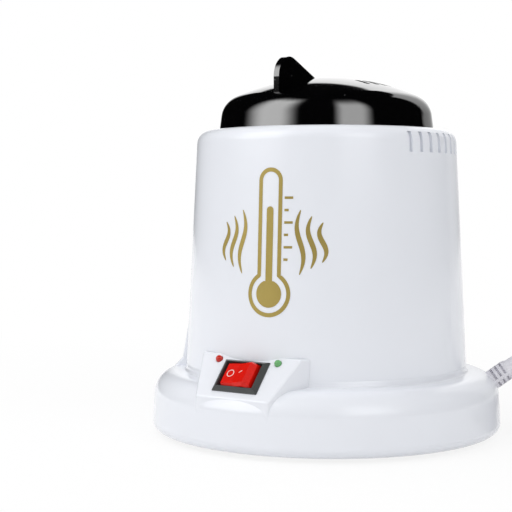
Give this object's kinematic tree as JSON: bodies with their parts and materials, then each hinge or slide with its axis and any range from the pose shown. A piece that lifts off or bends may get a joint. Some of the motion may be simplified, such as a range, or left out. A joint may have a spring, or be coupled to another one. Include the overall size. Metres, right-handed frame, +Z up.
{
  "type": "hot bead sterilizer",
  "caption": "Bench-top hot bead sterilizer: round tapered housing on a wide foot, sloping console with a rocker switch, black lift-off lid over a heated pot, mains cord.",
  "frame": {"origin": "middle of the circle of the rubber feet, on the surface they stand on", "axes": "+Z up along the housing axis, the switch console faces -Y, the mains cord leaves on the +X side"},
  "size_m": [0.2191, 0.2421, 0.1637],
  "materials": {
    "heater_steel": "heat-tinted",
    "housing_white": "moulded, glossy",
    "cover_grey": "fine texture",
    "cord_jacket": "smooth jacket",
    "tie_black": "matte",
    "screw_steel": "zinc plated",
    "foot_rubber": "matte",
    "lamp_green": "clear tinted resin",
    "sheet_steel": "plain sheet",
    "ring_resin": "moulded heat-proof resin",
    "glass_wool": "woven glass fibre",
    "board_green": "circuit board",
    "lid_black": "polished",
    "plug_moulding": "moulded on the cord",
    "pin_nickel": "nickel plated",
    "pot_steel": "drawn, bright inside",
    "lamp_red": "clear tinted resin",
    "rocker_red": "translucent red moulding",
    "relief_grey": "soft moulded",
    "bezel_dark": "moulded",
    "terminal_brass": "stamped",
    "block_white": "moulded",
    "fuse_case": "sleeved",
    "thermostat_body": "ceramic body with a metal cap"
  },
  "bodies": {
    "sterilizer": {"band_heater": "heater_steel", "base_shell": "housing_white", "bottom_cover": "cover_grey", "cord_coil": "cord_jacket", "cord_tie": "tie_black", "cover_screws": "screw_steel", "drum_screws": "screw_steel", "drum_shell": "housing_white", "foot_front_left": "foot_rubber", "foot_front_right": "foot_rubber", "foot_rear_left": "foot_rubber", "foot_rear_right": "foot_rubber", "green_lamp": "lamp_green", "heat_shield": "sheet_steel", "heater_bolt": "screw_steel", "insulating_ring": "ring_resin", "insulation_wrap": "glass_wool", "lamp_board": "board_green", "lid": "lid_black", "mains_cord": "cord_jacket", "plug_body": "plug_moulding", "plug_pins": "pin_nickel", "pot": "pot_steel", "red_lamp": "lamp_red", "ring_nuts": "screw_steel", "ring_screws": "screw_steel", "strain_relief": "relief_grey", "switch_body": "bezel_dark", "switch_terminals": "terminal_brass", "terminal_block": "block_white", "thermal_fuse": "fuse_case", "thermostat": "thermostat_body", "thermostat_bracket": "sheet_steel"},
    "rocker": {"rocker": "rocker_red"}
  },
  "joints": [
    {"name": "switch_rocker", "type": "hinge", "parent": "sterilizer", "child": "rocker", "pos_m": [0, -0.06535, 0.02923], "axis": [0, 0.6787, 0.7344], "range_deg": [0, 23]}
  ]
}
